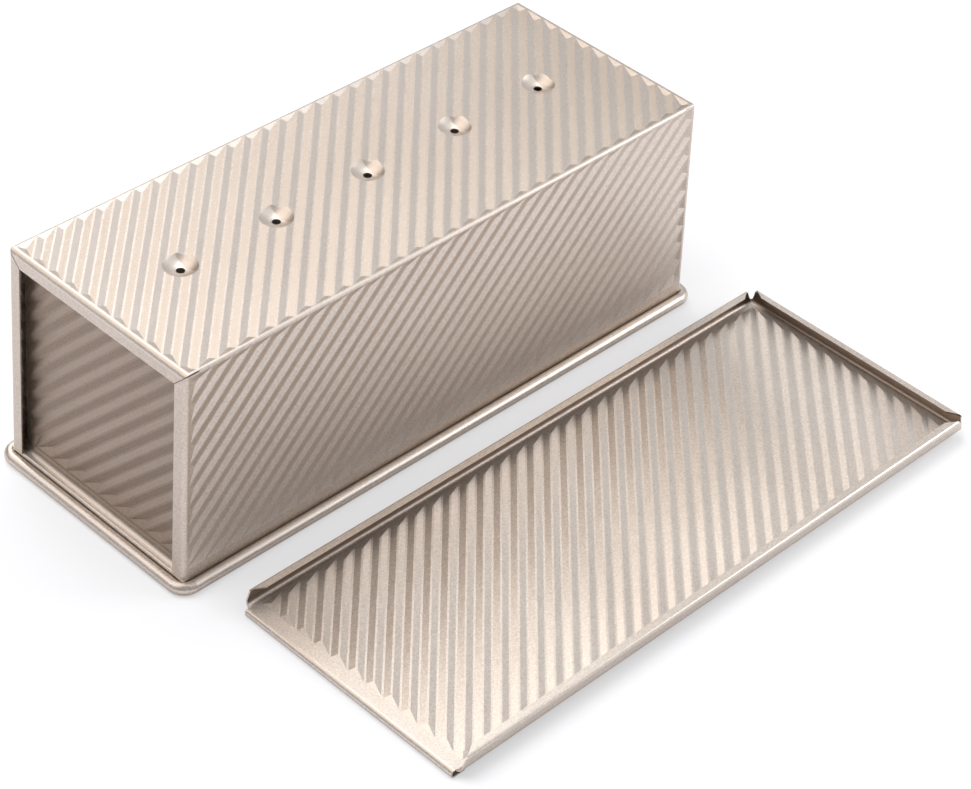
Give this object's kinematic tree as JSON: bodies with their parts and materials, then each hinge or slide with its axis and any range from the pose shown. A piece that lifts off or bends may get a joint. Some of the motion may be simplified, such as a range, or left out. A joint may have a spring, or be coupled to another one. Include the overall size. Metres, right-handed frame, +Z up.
{
  "type": "pullman loaf pan",
  "caption": "Corrugated pullman loaf pan standing mouth down on its wired rim, with folded end lips, dished base vents and a sliding ribbed lid beside it.",
  "frame": {"origin": "on the floor, under the middle of the pan and its lid taken together", "axes": "+X along the pan towards the lid's stop end, +Z up; the lid lies on the -Y side of the pan"},
  "size_m": [0.3708, 0.302, 0.1245],
  "materials": {
    "body_coating": "satin champagne gold non-stick coating with a fine metallic grain",
    "lid_coating": "satin champagne gold non-stick coating with a fine metallic grain",
    "wire": "plain drawn wire"
  },
  "bodies": {
    "pan": {"pan_wrap": "body_coating", "left_end_plate": "body_coating", "right_end_plate": "body_coating", "rim_wire": "wire"},
    "lid": {"lid": "lid_coating"}
  },
  "joints": [
    {"name": "lid_slide", "type": "slide", "parent": "pan", "child": "lid", "axis": [1, 0, 0], "range_m": [-0.0184, 0.3355]}
  ]
}
